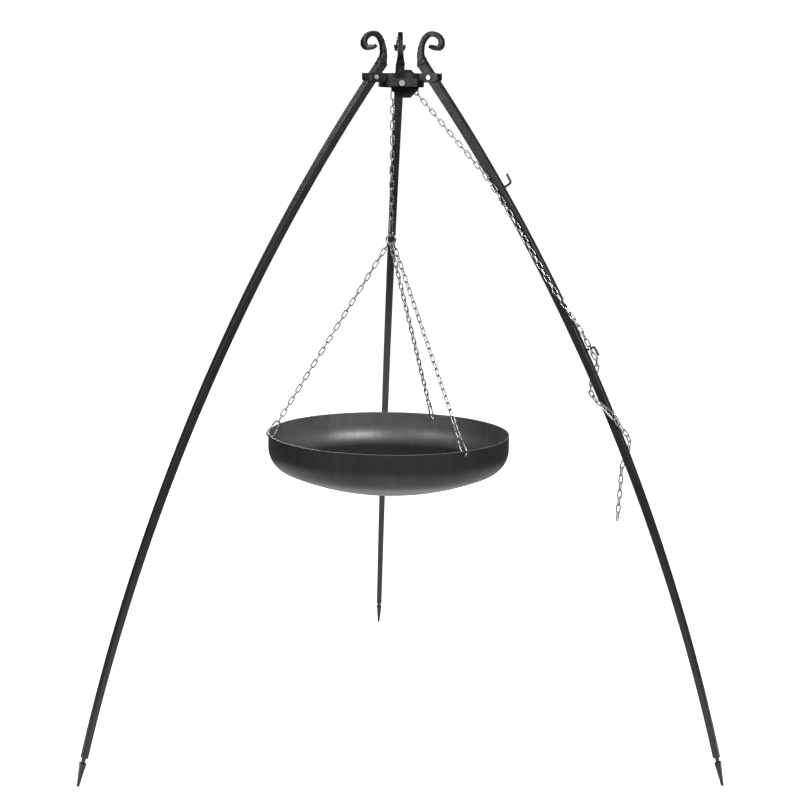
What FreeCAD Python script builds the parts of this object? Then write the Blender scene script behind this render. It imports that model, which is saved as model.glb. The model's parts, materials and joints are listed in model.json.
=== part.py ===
import FreeCAD, Part
import math
import os

import Sketcher

# A camping tripod with a hanging fire pan. Millimetres, +Z up, floor at Z = 0.
# The three legs stand at 210, 330 and 90 degrees about the tripod's own upright axis.
# The origin is the middle of the footprint on the floor, a quarter of the foot radius
# behind the tripod's axis.

Vector = FreeCAD.Vector
Rotation = FreeCAD.Rotation
Placement = FreeCAD.Placement

doc = FreeCAD.newDocument("campfire_tripod")

SIZES = {
    # legs: one long arc in a radial plane, thinner towards the foot
    "foot_radius": 862,
    "bolt_radius": 82,
    "bolt_height": 1623,
    "leg_arc_radius": 4450,
    "leg_top_width": 22,
    "leg_foot_width": 14.5,
    "leg_above_bolt": 38,
    "rear_leg_extra": 7,
    "leg_mitre": 5,
    "leg_wall": 2.4,
    "leg_core_width": 9.6,
    "leg_edge_round": 2.2,
    # spear foot
    "foot_length": 68,
    "spear_length": 57,
    "spear_top_width": 13.5,
    "spear_tip_width": 5,
    "neck_width": 7.4,
    "tang_length": 20,
    # crown
    "ring_radius": 55.5,
    "ring_wall": 5,
    "ring_low": 1601.5,
    "ring_step": 1620,
    "ring_high": 1633,
    "band_proud": 1.5,
    "ear_outer": 102,
    "ear_low": 1612,
    "ear_high": 1633,
    "ear_gap": 23,
    "ear_thickness": 4,
    "ear_corner": 6,
    "web_thickness": 2.5,
    "weld_gap": 0.05,
    "strap_left": 31,
    "strap_right": 35,
    "strap_thickness": 5,
    # fasteners
    "bolt_clearance": 0.05,
    "pivot_size": 6,
    "pivot_across_flats": 10.5,
    "pivot_head_height": 4,
    "pivot_nut_height": 5,
    "axle_size": 8,
    "axle_across_flats": 13,
    "axle_head_height": 5.3,
    "axle_nut_height": 6.5,
    "bolt_end": 2,
    "sleeve_wall": 2.5,
    # pulley
    "pulley_across": -1.5,
    "pulley_depth": -8,
    "pulley_height": 1609,
    "pin_circle": 18.5,
    "wheel_width": 18,
    "wheel_radius": 22,
    "groove_radius": 14.1,
    "slot_radius": 9.7,
    "slot_width": 4.4,
    "cheek_offset": 10.5,
    "cheek_across_flats": 66,
    "cheek_thickness": 2.5,
    "cheek_gap": 0.6,
    # chain
    "link_wire": 2.8,
    "link_inner": 18.4,
    "link_outer_width": 11.6,
    "link_slack": 0.45,
    "link_over_rod": 0.4,
    "strand_clear_out": 27,
    "strand_clear_drop": 20,
    # snap hooks and the gather ring
    "snap_wire": 4,
    "snap_length": 50,
    "snap_big_radius": 10,
    "snap_small_radius": 6.5,
    "gate_wire": 3.2,
    "gate_rivet": 1.6,
    "gate_pivot_up": 9,
    "gate_nose_up": -8,
    "gate_gap": 0.4,
    "gate_ear_length": 7,
    "gate_ear_width": 2.6,
    "gate_ear_thickness": 1,
    "gate_side_gap": 0.15,
    "rivet_head": 0.5,
    "gather_radius": 12,
    "gather_wire": 4,
    "hook_turn": -25,
    "ring_slack": 0.3,
    # pan
    "pan_radius": 300,
    "pan_wall": 2.5,
    "pan_rim_height": 755,
    "pan_depth": 147,
    "pan_side": 37,
    "pan_knuckle": 60,
    "rim_hole_drop": 9,
    "rim_hole_size": 9,
    "first_hole_angle": 184.4,
    # rod hooks on the right leg
    "rod_size": 5.5,
    "upper_hook_height": 1361,
    "lower_hook_height": 990,
    "rod_reach": 22,
    "rod_tail": 23,
}

sheet = doc.addObject("Spreadsheet::Sheet", "Sizes")
for row, (alias, value) in enumerate(SIZES.items(), start=1):
    sheet.set(f"A{row}", alias)
    sheet.set(f"B{row}", str(value))
    sheet.setAlias(f"B{row}", alias)
doc.recompute()


def size(alias):
    """A driving dimension, read back from the sheet."""
    return float(sheet.get(alias))


AXIS = Vector(0, -size("foot_radius") / 4, 0)
LEGS = {"left": 210, "right": 330, "rear": 90}
parts = []


def keep(thing, label):
    """Name a finished sub-part and put it on the list of files to write."""
    thing.Label = label
    parts.append(thing)
    return thing


def turned(azimuth):
    """The frame of one leg: X runs outwards, Y sideways, Z up, from the tripod's axis."""
    return Placement(AXIS, Rotation(Vector(0, 0, 1), azimuth))


# ---------------------------------------------------------------- sketch helpers


def sketch_on(body, role, height=None):
    """A sketch on one of the body's own origin planes, raised by an expression."""
    sketch = body.newObject("Sketcher::SketchObject", "outline")
    plane = [o for o in body.Origin.OriginFeatures if o.Role == role][0]
    sketch.AttachmentSupport = [(plane, "")]
    sketch.MapMode = "FlatFace"
    if height:
        sketch.setExpression("AttachmentOffset.Base.z", height)
    return sketch


def place_point(sketch, element, end, across, up):
    """Hold one point of the sketch at two expressions, measured from its origin."""
    for kind, text in (("DistanceX", across), ("DistanceY", up)):
        value = float(sketch.evalExpression(text))
        number = sketch.addConstraint(Sketcher.Constraint(kind, -1, 1, element, end, value))
        sketch.setExpression(f"Constraints[{number}]", text)


def polygon(sketch, corners):
    """A closed polygon whose corners are pairs of expressions."""
    spots = [Vector(*(float(sketch.evalExpression(text)) for text in pair), 0) for pair in corners]
    first = sketch.GeometryCount
    count = len(spots)
    for i in range(count):
        sketch.addGeometry(Part.LineSegment(spots[i], spots[(i + 1) % count]), False)
    for i in range(count):
        following = first + (i + 1) % count
        sketch.addConstraint(Sketcher.Constraint("Coincident", first + i, 2, following, 1))
    for i in range(count):
        place_point(sketch, first + i, 1, *corners[i])


def circle(sketch, across, up, radius):
    """A circle whose centre and radius are expressions."""
    centre = Vector(*(float(sketch.evalExpression(text)) for text in (across, up)), 0)
    value = float(sketch.evalExpression(radius))
    element = sketch.addGeometry(Part.Circle(centre, Vector(0, 0, 1), value), False)
    number = sketch.addConstraint(Sketcher.Constraint("Radius", element, value))
    sketch.setExpression(f"Constraints[{number}]", radius)
    place_point(sketch, element, 3, across, up)


def pad(body, sketch, length, symmetric=False, reverse=False):
    feature = body.newObject("PartDesign::Pad", "pad")
    feature.Profile = sketch
    feature.SideType = "Symmetric" if symmetric else "One side"
    feature.Reversed = reverse
    feature.setExpression("Length", length)
    doc.recompute()
    return feature


def pocket(body, sketch, length, symmetric=True, reverse=False):
    """Cut the sketch through the body, and make sure that it took something away."""
    before = body.Shape.Volume
    feature = body.newObject("PartDesign::Pocket", "pocket")
    feature.Profile = sketch
    feature.SideType = "Symmetric" if symmetric else "One side"
    feature.Reversed = reverse
    feature.setExpression("Length", length)
    doc.recompute()
    if not body.Shape.Volume < before - 0.1:
        raise RuntimeError(f"a pocket in {body.Name} cut nothing")
    return feature


def new_body(label, where):
    body = doc.addObject("PartDesign::Body", label)
    body.Placement = where
    return keep(body, label)


# ---------------------------------------------------------------- the leg's curve

CHORD_OUT = size("foot_radius") - size("bolt_radius")
CHORD = math.hypot(CHORD_OUT, size("bolt_height"))
TO_CENTRE = math.sqrt(size("leg_arc_radius") ** 2 - CHORD**2 / 4)
CENTRE_OUT = (size("foot_radius") + size("bolt_radius")) / 2
CENTRE_OUT -= TO_CENTRE * size("bolt_height") / CHORD
CENTRE_UP = size("bolt_height") / 2 - TO_CENTRE * CHORD_OUT / CHORD
FOOT_ANGLE = math.atan2(-CENTRE_UP, size("foot_radius") - CENTRE_OUT)
BOLT_ANGLE = math.atan2(size("bolt_height") - CENTRE_UP, size("bolt_radius") - CENTRE_OUT)
BOLT_ALONG = (BOLT_ANGLE - FOOT_ANGLE) * size("leg_arc_radius")
TOP_ALONG = BOLT_ALONG + size("leg_above_bolt")
LEAN = math.degrees(FOOT_ANGLE)
TOPS = {name: TOP_ALONG + (size("rear_leg_extra") if name == "rear" else 0) for name in LEGS}


def leg_width(along):
    """The leg's thickness, which grows evenly from the foot to the top."""
    share = along / TOP_ALONG
    return size("leg_foot_width") * (1 - share) + size("leg_top_width") * share


def leg_point(along, out=0.0, side=0.0):
    """A point in the leg's frame: along the arc from the foot, out from it and sideways."""
    angle = FOOT_ANGLE + along / size("leg_arc_radius")
    reach = size("leg_arc_radius") + out
    return Vector(CENTRE_OUT + reach * math.cos(angle), side, CENTRE_UP + reach * math.sin(angle))


def along_at(height):
    """The distance along the arc at which the leg's middle is at a height."""
    angle = math.asin((height - CENTRE_UP) / size("leg_arc_radius"))
    return (angle - FOOT_ANGLE) * size("leg_arc_radius")


def leg_outline(sketch, start, end, inset, mitre):
    """The leg's side view between two stations: two long arcs and two short lines."""

    def edge(along, side):
        spot = leg_point(along, side * (leg_width(along) / 2 - inset))
        return Vector(spot.x, spot.z, 0)

    middle = (start + end) / 2
    outer = Part.Arc(edge(start, 1), edge(middle, 1), edge(end - mitre, 1))
    inner = Part.Arc(edge(start, -1), edge(middle, -1), edge(end + mitre, -1))
    sketch.addGeometry(outer, False)
    sketch.addGeometry(Part.LineSegment(edge(end - mitre, 1), edge(end + mitre, -1)), False)
    sketch.addGeometry(inner, False)
    sketch.addGeometry(Part.LineSegment(edge(start, -1), edge(start, 1)), False)


def leg_tube(name, azimuth):
    """A bowed square tube that narrows downwards, with a bore for the pivot bolt."""
    body = new_body(f"leg_{name}_tube", turned(azimuth))
    outline = sketch_on(body, "XZ_Plane")
    leg_outline(outline, size("foot_length"), TOPS[name], 0, size("leg_mitre"))
    pad(body, outline, "Sizes.leg_top_width", symmetric=True)

    # wedges taken off both sides narrow the tube towards the foot
    sides = sketch_on(body, "YZ_Plane")
    top = size("bolt_height") + 2 * size("leg_above_bolt")
    for sign in ("", "-"):
        near_foot = f"{sign}Sizes.leg_foot_width / 2"
        near_top = f"{sign}(Sizes.leg_top_width - 0.1) / 2"
        beyond = f"{sign}Sizes.leg_top_width"
        corners = [(near_foot, "0"), (near_top, f"{top}"), (beyond, f"{top}"), (beyond, "0")]
        polygon(sides, corners)
    pocket(body, sides, "4 * Sizes.foot_radius")

    sharp = body.Tip
    long_edges = [
        f"Edge{i}" for i, e in enumerate(sharp.Shape.Edges, start=1) if e.Length > 1000
    ]
    rounding = body.newObject("PartDesign::Fillet", "rounding")
    rounding.Base = (sharp, long_edges)
    rounding.setExpression("Radius", "Sizes.leg_edge_round")
    doc.recompute()

    core = sketch_on(body, "XZ_Plane")
    leg_outline(core, 0, TOPS[name] + size("leg_top_width"), size("leg_wall"), 0)
    pocket(body, core, "Sizes.leg_core_width")

    bore = sketch_on(body, "XZ_Plane")
    circle(bore, "Sizes.bolt_radius", "Sizes.bolt_height",
           "Sizes.pivot_size / 2 + Sizes.bolt_clearance")
    pocket(body, bore, "2 * Sizes.leg_top_width")


def spear_foot(name, azimuth):
    """A square spear point on a thin neck, whose tang sits inside the tube."""
    where = turned(azimuth) * Placement(
        Vector(size("foot_radius"), 0, 0), Rotation(Vector(0, 1, 0), -LEAN))
    body = new_body(f"leg_{name}_foot", where)
    below = 6
    slope = (size("spear_top_width") - size("spear_tip_width")) / 2 / size("spear_length")
    tip = sketch_on(body, "XY_Plane", f"-{below}")
    square(tip, f"Sizes.spear_tip_width - {2 * below * slope}")
    point = pad(body, tip, f"Sizes.spear_length + {below}")
    point.TaperAngle = math.degrees(math.atan(slope))
    doc.recompute()
    neck = sketch_on(body, "XY_Plane", "Sizes.spear_length")
    square(neck, "Sizes.neck_width")
    pad(body, neck, "Sizes.foot_length - Sizes.spear_length + Sizes.tang_length")

    # the point is cut off level with the floor
    floor = sketch_on(body, "XZ_Plane")
    reach = 30
    drop = reach * math.tan(math.radians(LEAN))
    corners = [(-reach, drop), (reach, -drop), (reach, -reach), (-reach, -reach)]
    polygon(floor, [(f"{across}", f"{up}") for across, up in corners])
    pocket(body, floor, "4 * Sizes.spear_top_width")


def square(sketch, width):
    """A square centred on the sketch's origin."""
    half = f"({width}) / 2"
    polygon(sketch, [(f"-{half}", f"-{half}"), (half, f"-{half}"), (half, half), (f"-{half}", half)])


# The scroll's sections: out and up from the middle of the tube's top, thickness and width.
# A stem that thins upwards, a round curl over the outside, and a flared blunt tip.
SCROLL_STATIONS = [
    (-2.0, 5.5, 21, 20.5),
    (-4.4, 13.5, 17.5, 17),
    (-7.1, 23.9, 14.5, 14.5),
    (-6.5, 34.3, 13, 13),
    (-4.8, 44.7, 11.8, 12),
    (-0.3, 56.1, 11.6, 11.6),
    (5.0, 63.9, 11.8, 11.8),
    (14.4, 70.9, 12, 12.4),
    (25.9, 71.9, 12, 12.8),
    (37.9, 67.3, 11.6, 13.6),
    (46.2, 58.1, 11, 15),
    (47.9, 48.9, 10.6, 17),
    (44.4, 41.2, 10.2, 19.5),
    (37.0, 37.9, 9.8, 22.5),
    (28.4, 39.4, 9, 26),
    (20.8, 44.0, 8, 29),
]


def scroll(name, azimuth):
    """A forged scroll on top of the leg, lofted through rectangular sections."""
    mitre = size("leg_mitre")
    half = size("leg_top_width") / 2
    start = leg_point(TOPS[name] - mitre, half), leg_point(TOPS[name] + mitre, -half)
    base = (start[0] + start[1]) / 2
    centres = [base] + [base + Vector(out, 0, up) for out, up, _, _ in SCROLL_STATIONS]
    spine = Part.BSplineCurve()
    spine.interpolate(centres)
    sections = []
    for number, centre in enumerate(centres):
        if number == 0:
            across = (start[0] - start[1]) / 2
            thick, wide = across.Length * 2, size("leg_top_width")
            across.normalize()
        else:
            _, _, thick, wide = SCROLL_STATIONS[number - 1]
            along = Vector(*spine.tangent(spine.parameter(centre))[0])
            across = along.cross(Vector(0, 1, 0)) * -1
            across.normalize()
        out = across * (thick / 2)
        side = Vector(0, wide / 2, 0)
        corners = [centre + out + side, centre + out - side, centre - out - side, centre - out + side]
        sections.append(Part.makePolygon(corners + corners[:1]))
    feature = doc.addObject("Part::Feature", f"leg_{name}_scroll")
    feature.Shape = Part.makeLoft(sections, True, False)
    feature.Placement = turned(azimuth)
    keep(feature, f"leg_{name}_scroll")


# ---------------------------------------------------------------- crown


def polar(radius, degrees):
    """Expressions for a point at a radius and an angle."""
    return f"({radius}) * cos({degrees} deg)", f"({radius}) * sin({degrees} deg)"


BAND_RADIUS = "(Sizes.ring_radius + Sizes.band_proud)"


def crown_ring():
    """The round ring, with a band that stands proud at the top, bored for the axle."""
    body = new_body("crown_ring", Placement(AXIS, Rotation()))
    outer = sketch_on(body, "XY_Plane", "Sizes.ring_low")
    circle(outer, "0", "0", "Sizes.ring_radius")
    pad(body, outer, "Sizes.ring_high - Sizes.ring_low")
    band = sketch_on(body, "XY_Plane", "Sizes.ring_step")
    circle(band, "0", "0", BAND_RADIUS)
    pad(body, band, "Sizes.ring_high - Sizes.ring_step")
    inner = sketch_on(body, "XY_Plane", "Sizes.ring_low")
    circle(inner, "0", "0", "Sizes.ring_radius - Sizes.ring_wall")
    pocket(body, inner, "4 * (Sizes.ring_high - Sizes.ring_low)")
    bore = sketch_on(body, "XZ_Plane")
    circle(bore, "Sizes.pulley_across", "Sizes.pulley_height",
           "Sizes.axle_size / 2 + Sizes.bolt_clearance")
    pocket(body, bore, "2 * Sizes.ring_radius", symmetric=False, reverse=True)


def clevis(name, azimuth):
    """Two ears that hold a leg, joined by a web that is welded to the ring's band."""
    body = new_body(f"clevis_{name}", turned(azimuth))
    low, high = "Sizes.ear_low", "Sizes.ear_high"
    inner, outer = "Sizes.ring_radius - Sizes.ring_wall", "Sizes.ear_outer"
    corner = "Sizes.ear_corner"
    side_view = sketch_on(body, "XZ_Plane")
    polygon(side_view, [
        (inner, low), (f"{outer} - {corner}", low), (outer, f"{low} + {corner}"),
        (outer, high), (inner, high)])
    pad(body, side_view, "Sizes.ear_gap + 2 * Sizes.ear_thickness", symmetric=True)
    gap = sketch_on(body, "XZ_Plane")
    web = f"{BAND_RADIUS} + Sizes.web_thickness"
    beyond = "Sizes.ear_gap"
    polygon(gap, [(web, f"{low} - {beyond}"), (f"{outer} + {beyond}", f"{low} - {beyond}"),
                  (f"{outer} + {beyond}", f"{high} + {beyond}"), (web, f"{high} + {beyond}")])
    pocket(body, gap, "Sizes.ear_gap")
    seat = sketch_on(body, "XY_Plane", low)
    circle(seat, "0", "0", f"{BAND_RADIUS} + Sizes.weld_gap")
    pocket(body, seat, f"4 * ({high} - {low})")
    bore = sketch_on(body, "XZ_Plane")
    circle(bore, "Sizes.bolt_radius", "Sizes.bolt_height",
           "Sizes.pivot_size / 2 + Sizes.bolt_clearance")
    pocket(body, bore, "4 * Sizes.ear_gap")


def front_strap():
    """The flat-faced strap on the ring's front, under the head of the pulley's axle."""
    where = Placement(AXIS, Rotation())
    body = new_body("front_strap", where)
    face = sketch_on(body, "XZ_Plane")
    left, right = "-Sizes.strap_left", "Sizes.strap_right"
    low, high = "Sizes.ring_low", "Sizes.ring_step - Sizes.weld_gap"
    polygon(face, [(left, low), (right, low), (right, high), (left, high)])
    circle(face, "Sizes.pulley_across", "Sizes.pulley_height",
           "Sizes.axle_size / 2 + Sizes.bolt_clearance")
    pad(body, face, "Sizes.ring_radius + Sizes.strap_thickness")
    seat = sketch_on(body, "XY_Plane", low)
    circle(seat, "0", "0", "Sizes.ring_radius + Sizes.weld_gap")
    pocket(body, seat, "4 * (Sizes.ring_high - Sizes.ring_low)")


PULLEY = AXIS + Vector(size("pulley_across"), size("pulley_depth"), size("pulley_height"))
CHEEK_GAP = size("wheel_width") / 2 + size("cheek_gap")


def cheek(name, depth):
    """An octagonal side plate of the pulley block, off centre on the axle."""
    body = new_body(f"pulley_cheek_{name}", Placement(PULLEY + Vector(0, depth, 0), Rotation()))
    face = sketch_on(body, "XZ_Plane")
    reach = "Sizes.cheek_across_flats / 2 / cos(22.5 deg)"
    corners = [polar(reach, 22.5 + 45 * i) for i in range(8)]
    polygon(face, [(f"Sizes.cheek_offset + {across}", up) for across, up in corners])
    circle(face, "0", "0", "Sizes.axle_size / 2 + Sizes.bolt_clearance")
    pad(body, face, "Sizes.cheek_thickness")


def pulley_wheel():
    """The chain wheel: a land for the flat links and a slot for the upright ones."""
    body = new_body("pulley_wheel", Placement(PULLEY, Rotation()))
    half = sketch_on(body, "YZ_Plane")
    bore = "Sizes.axle_size / 2 + Sizes.bolt_clearance"
    slot, land, rim = "Sizes.slot_radius", "Sizes.groove_radius", "Sizes.wheel_radius"
    side, step = "Sizes.wheel_width / 2", "Sizes.slot_width / 2"
    lip = "Sizes.link_outer_width / 2 + 0.6"
    polygon(half, [
        (f"-{side}", bore), (side, bore), (side, rim), (f"{side} - 1", rim), (lip, land),
        (step, land), (step, slot), (f"-{step}", slot), (f"-{step}", land),
        (f"-({lip})", land), (f"-({side} - 1)", rim), (f"-{side}", rim)])
    turn = body.newObject("PartDesign::Revolution", "turn")
    turn.Profile = half
    turn.ReferenceAxis = (half, ["H_Axis"])
    turn.Angle = 360
    doc.recompute()


# ---------------------------------------------------------------- fasteners


def cylinder(name, radius, length, where):
    thing = doc.addObject("Part::Cylinder", name)
    thing.setExpression("Radius", radius)
    thing.setExpression("Height", length)
    thing.Placement = where
    return thing


def hexagon_prism(name, kind, height, where):
    thing = doc.addObject("Part::Prism", name)
    thing.Polygon = 6
    thing.setExpression("Circumradius", f"Sizes.{kind}_across_flats / 2 / cos(30 deg)")
    thing.setExpression("Height", height)
    thing.Placement = where
    return thing


def hex_bolt(name, kind, where, shank):
    """A hexagon bolt: its head stands on the -Z side of the shank's start."""
    down = Placement(Vector(0, 0, -size(f"{kind}_head_height")), Rotation())
    head = hexagon_prism(f"{name}_head", kind, f"Sizes.{kind}_head_height", where * down)
    rod = cylinder(f"{name}_shank", f"Sizes.{kind}_size / 2", shank, where)
    bolt = doc.addObject("Part::Fuse", name)
    bolt.Base = head
    bolt.Tool = rod
    return bolt


def hex_nut(name, kind, where):
    body = hexagon_prism(f"{name}_blank", kind, f"Sizes.{kind}_nut_height", where)
    down = Placement(Vector(0, 0, -size(f"{kind}_nut_height")), Rotation())
    hole = cylinder(f"{name}_hole", f"Sizes.{kind}_size / 2", f"3 * Sizes.{kind}_nut_height",
                    where * down)
    nut = doc.addObject("Part::Cut", name)
    nut.Base = body
    nut.Tool = hole
    return nut


def group(label, members):
    compound = doc.addObject("Part::Compound", label)
    compound.Links = members
    doc.recompute()
    return keep(compound, label)


def pivot_fasteners():
    """One bolt and one nut through each pair of ears. The heads of the two front bolts
    face the front."""
    half = size("ear_gap") / 2 + size("ear_thickness")
    shank = "Sizes.ear_gap + 2 * Sizes.ear_thickness + Sizes.pivot_nut_height + Sizes.bolt_end"
    bolts, nuts = [], []
    for name, azimuth in LEGS.items():
        inwards = 1 if name != "right" else -1
        hinge = turned(azimuth) * Placement(
            Vector(size("bolt_radius"), inwards * half, size("bolt_height")),
            Rotation(Vector(1, 0, 0), 90 * inwards))
        bolts.append(hex_bolt(f"pivot_bolt_{name}", "pivot", hinge, shank))
        far = hinge * Placement(Vector(0, 0, 2 * half), Rotation())
        nuts.append(hex_nut(f"pivot_nut_{name}", "pivot", far))
    group("pivot_bolts", bolts)
    group("pivot_nuts", nuts)


def axle_parts():
    """The bolt that the wheel turns on, its nut and the sleeve behind the ring."""
    front = AXIS.y - size("ring_radius") - size("strap_thickness")
    along_y = Rotation(Vector(1, 0, 0), -90)
    start = Placement(Vector(PULLEY.x, front, PULLEY.z), along_y)
    rear = PULLEY.y + CHEEK_GAP + size("cheek_thickness")
    shank = rear - front + size("axle_nut_height") + size("bolt_end")
    group("pulley_axle", [hex_bolt("axle_bolt", "axle", start, f"{shank}")])
    end = Placement(Vector(PULLEY.x, rear, PULLEY.z), along_y)
    group("axle_nut", [hex_nut("axle_lock_nut", "axle", end)])

    # the sleeve's rim meets the inside of the round ring
    outside = size("axle_size") / 2 + size("sleeve_wall")
    inner = size("ring_radius") - size("ring_wall")
    begin = AXIS.y - math.sqrt(inner**2 - (abs(size("pulley_across")) + outside) ** 2)
    length = PULLEY.y - CHEEK_GAP - size("cheek_thickness") - begin
    where = Placement(Vector(PULLEY.x, begin, PULLEY.z), along_y)
    sleeve = doc.addObject("Part::Cut", "axle_sleeve")
    sleeve.Base = cylinder("sleeve_outside", "Sizes.axle_size / 2 + Sizes.sleeve_wall",
                           f"{length}", where)
    sleeve.Tool = cylinder("sleeve_bore", "Sizes.axle_size / 2 + Sizes.bolt_clearance",
                           f"{length}", where)
    doc.recompute()
    keep(sleeve, "axle_sleeve")


# ---------------------------------------------------------------- chain

PITCH = size("link_inner") - size("link_slack")


def make_link():
    """One welded link in its own XY plane, long along X."""
    bend = (size("link_outer_width") - size("link_wire")) / 2
    run = (size("link_inner") + size("link_wire")) / 2 - bend
    corners = [Vector(-run, -bend, 0), Vector(run, -bend, 0), Vector(run, bend, 0), Vector(-run, bend, 0)]
    path = Part.Wire([
        Part.makeLine(corners[0], corners[1]),
        Part.Arc(corners[1], Vector(run + bend, 0, 0), corners[2]).toShape(),
        Part.makeLine(corners[2], corners[3]),
        Part.Arc(corners[3], Vector(-run - bend, 0, 0), corners[0]).toShape(),
    ])
    ring = Part.Wire(Part.makeCircle(size("link_wire") / 2, corners[0], Vector(1, 0, 0)))
    return path.makePipeShell([ring], True, True)


LINK = make_link()


def along_axis(origin, axis, side):
    """A placement whose X runs along an axis and whose Y leans towards a side."""
    ahead = Vector(axis).normalize()
    across = side - ahead * side.dot(ahead)
    across.normalize()
    matrix = FreeCAD.Matrix()
    matrix.A11, matrix.A21, matrix.A31 = ahead
    matrix.A12, matrix.A22, matrix.A32 = across
    matrix.A13, matrix.A23, matrix.A33 = ahead.cross(across)
    matrix.A14, matrix.A24, matrix.A34 = origin
    return Placement(matrix)


def squared(direction, axis):
    """The part of a direction that is square to an axis, as a unit vector."""
    across = direction - axis * (direction.dot(axis) / axis.dot(axis))
    return across.normalize()


def chain(label, pins, side, finish=None):
    """A link between each two pins. The first link is wide along a side, and each next
    one is a quarter turn on. With a finish, a slight twist spread over the links lets a
    link after the last one be wide along it. Returns the side of that next link."""
    steps = [far - near for near, far in zip(pins, pins[1:])]

    def sides(twist):
        across = side
        for step in steps:
            across = squared(across, step)
            yield across
            across = Rotation(step, 90 + twist).multVec(across)
        yield across

    twist = 0.0
    if finish is not None:
        last = squared(list(sides(0))[-1], steps[-1])
        wanted = squared(finish, steps[-1])
        turn = math.degrees(math.atan2(last.cross(wanted).dot(steps[-1].normalize()),
                                       last.dot(wanted)))
        twist = ((turn + 90) % 180 - 90) / len(steps)
        steps = [far - near for near, far in zip(pins, pins[1:])]
    across = list(sides(twist))
    links = []
    for near, step, width in zip(pins, steps, across):
        link = LINK.copy()
        link.Placement = along_axis(near + step / 2, step, width)
        links.append(link)
    feature = doc.addObject("Part::Feature", label)
    feature.Shape = Part.makeCompound(links)
    keep(feature, label)
    return across[-1]


def stroll(path, pitch):
    """Points on a path of short steps, each a pitch from the one before."""
    pins = [path[0]]
    for here, ahead in zip(path, path[1:]):
        while (ahead - pins[-1]).Length >= pitch:
            low, high = 0.0, 1.0
            for _ in range(40):
                middle = (low + high) / 2
                if (here + (ahead - here) * middle - pins[-1]).Length < pitch:
                    low = middle
                else:
                    high = middle
            pins.append(here + (ahead - here) * high)
    return pins


def fitted_pins(path):
    """Pins from a path's start to its end, evenly spaced and no further than a pitch."""
    length = sum((ahead - here).Length for here, ahead in zip(path, path[1:]))
    count = math.ceil(length / PITCH)
    low, high = PITCH * 0.7, PITCH
    for _ in range(40):
        pitch = (low + high) / 2
        if len(stroll(path, pitch)) > count:
            low = pitch
        else:
            high = pitch
    return stroll(path, high)[:count] + [path[-1]]


def straight(start, end, steps=200):
    return [start + (end - start) * (i / steps) for i in range(steps + 1)]


def curve_through(spots, steps=600):
    curve = Part.BSplineCurve()
    curve.interpolate(spots)
    return curve.discretize(Number=steps)


# The upright strand hangs from the wheel's left side.
STRAND_X = PULLEY.x - size("pin_circle")
DOWN = Vector(0, 0, -1)
TAKE_UP_LINKS = 8
DROP_LINKS = 10
# The snap hook under the strand and the gather ring are turned a little to the front.
HOOK_TURN = Rotation(Vector(0, 0, 1), size("hook_turn"))


def upright_strand():
    """The strand between wheel and pan, in the upper part that the wheel takes up
    and the lower part that rises with the pan. Returns its last pin."""
    top = Vector(STRAND_X, PULLEY.y, PULLEY.z)
    pins = [top + DOWN * (PITCH * i) for i in range(TAKE_UP_LINKS + DROP_LINKS + 1)]
    side = chain("chain_takeup", pins[: TAKE_UP_LINKS + 1], Vector(0, 1, 0))
    chain("main_chain", pins[TAKE_UP_LINKS:], side, HOOK_TURN.multVec(Vector(0, 1, 0)))
    return pins[-1]


RIGHT = turned(LEGS["right"])


def beside_leg(height, degrees, distance):
    """A point round the right leg: 0 degrees is its outer face and 90 its far side."""
    angle = math.radians(degrees)
    spot = leg_point(along_at(height), distance * math.cos(angle), distance * math.sin(angle))
    return RIGHT.multVec(spot)


# Height, angle round the leg and distance from its middle, down to the lower rod hook.
RUN_ROUTE = [
    (1400, -118, 19), (1345, -105, 17), (1280, -95, 16.5), (1200, -84, 16.5),
    (1120, -62, 19), (1060, -30, 20.5),
]
# From the lower rod hook round the back of the leg to the snap hook on its near face.
WRAP_ROUTE = [(954, 40, 19.5), (938, 95, 18.5), (922, 150, 20), (905, 195, 21), (888, 232, 21)]
# From the snap hook round the leg once more, and down to the chain's free end.
ROUND_ROUTE = [
    (818, 325, 21), (794, 0, 20.5), (772, 60, 19.5), (753, 120, 19), (736, 170, 21),
]
TAIL_FALL = 126
TAIL_DRIFT = -8
# The snap hook on the leg's near face: height, out and sideways from the leg's middle,
# the angle between it and the leg, and its roll about its own length.
LEG_SNAP_HEIGHT, LEG_SNAP_OUT, LEG_SNAP_SIDE = 853, 8, -18.5
LEG_SNAP_SLANT, LEG_SNAP_ROLL = 24, 35


def leaving_wheel(target):
    """Where a strand to the target leaves the wheel, as an angle about the axle."""
    across, up = target.x - PULLEY.x, target.z - PULLEY.z
    reach = math.hypot(across, up)
    return math.degrees(math.atan2(up, across) + math.acos(size("pin_circle") / reach))


def round_wheel(degrees):
    """A point on the circle that the chain's pins follow over the wheel."""
    angle = math.radians(degrees)
    return PULLEY + Vector(math.cos(angle), 0, math.sin(angle)) * size("pin_circle")


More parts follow.
